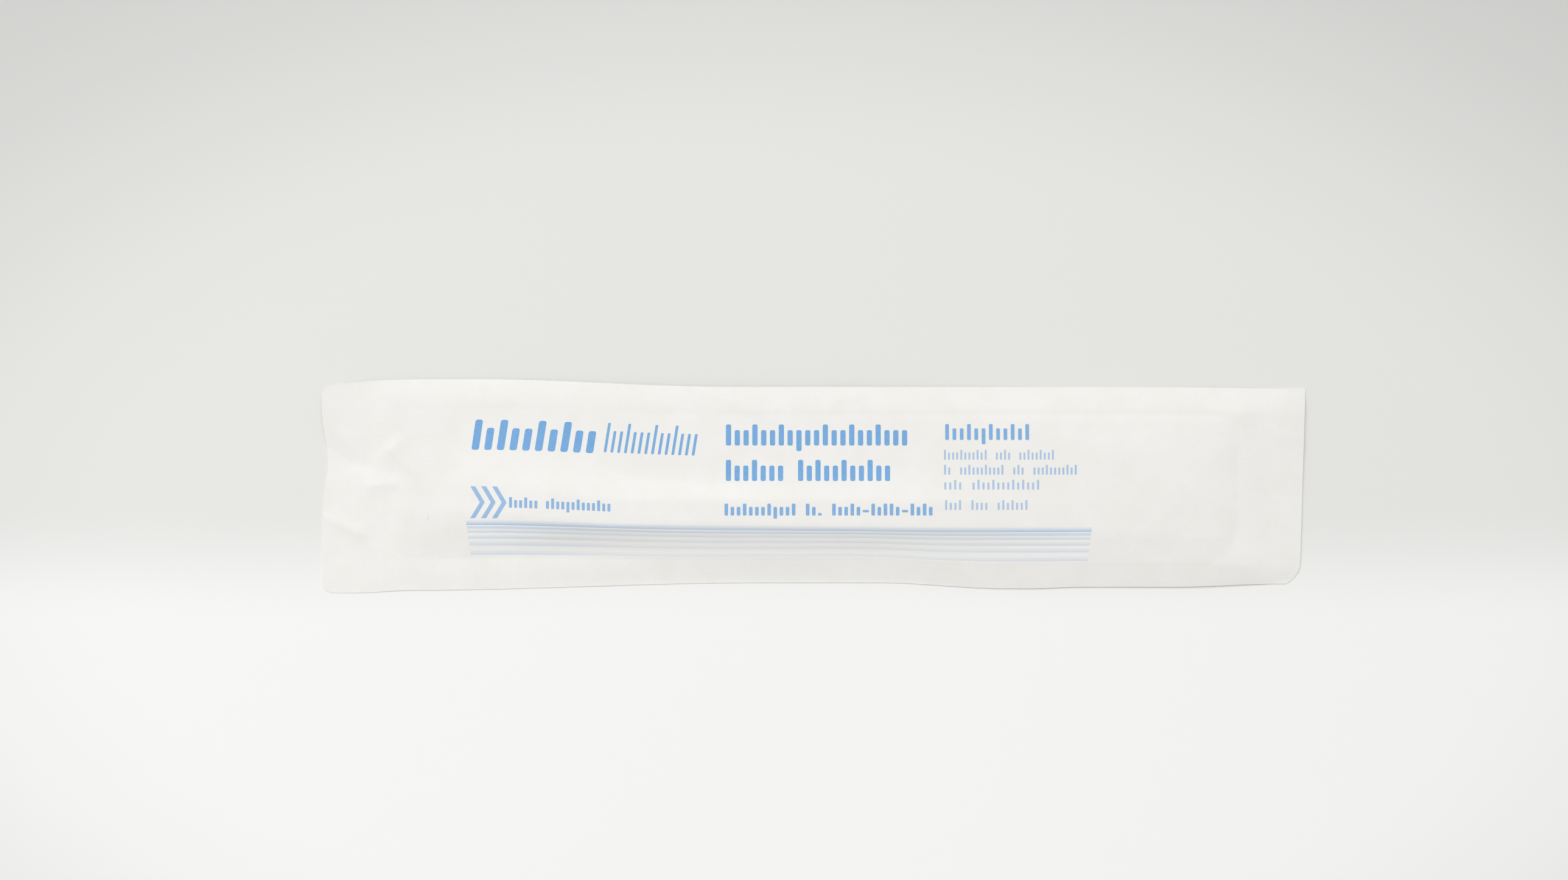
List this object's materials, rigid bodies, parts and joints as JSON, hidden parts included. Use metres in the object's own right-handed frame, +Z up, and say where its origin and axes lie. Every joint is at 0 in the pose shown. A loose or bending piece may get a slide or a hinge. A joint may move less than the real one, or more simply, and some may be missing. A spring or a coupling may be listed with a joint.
{
  "type": "sealed peel pouch of a cell lifter",
  "caption": "Sealed off-white paper peel pouch with a disposable cell lifter inside, lying flat, its front web tented over the hidden handle and blade and printed in pale blue.",
  "frame": {"origin": "bottom centre of the bounding box, on the plate that the pouch lies on", "axes": "+X along the pouch from the handle's end to the blade's end, +Y across it, +Z up out of the printed front web"},
  "size_m": [0.241, 0.0524, 0.0045],
  "materials": {
    "pouch_paper": "matt off-white coated medical paper with a faint warm tint",
    "printed_ink": "flat pale blue flexographic ink on the front web"
  },
  "bodies": {
    "root": {"sealed_pouch": "pouch_paper"}
  },
  "joints": []
}
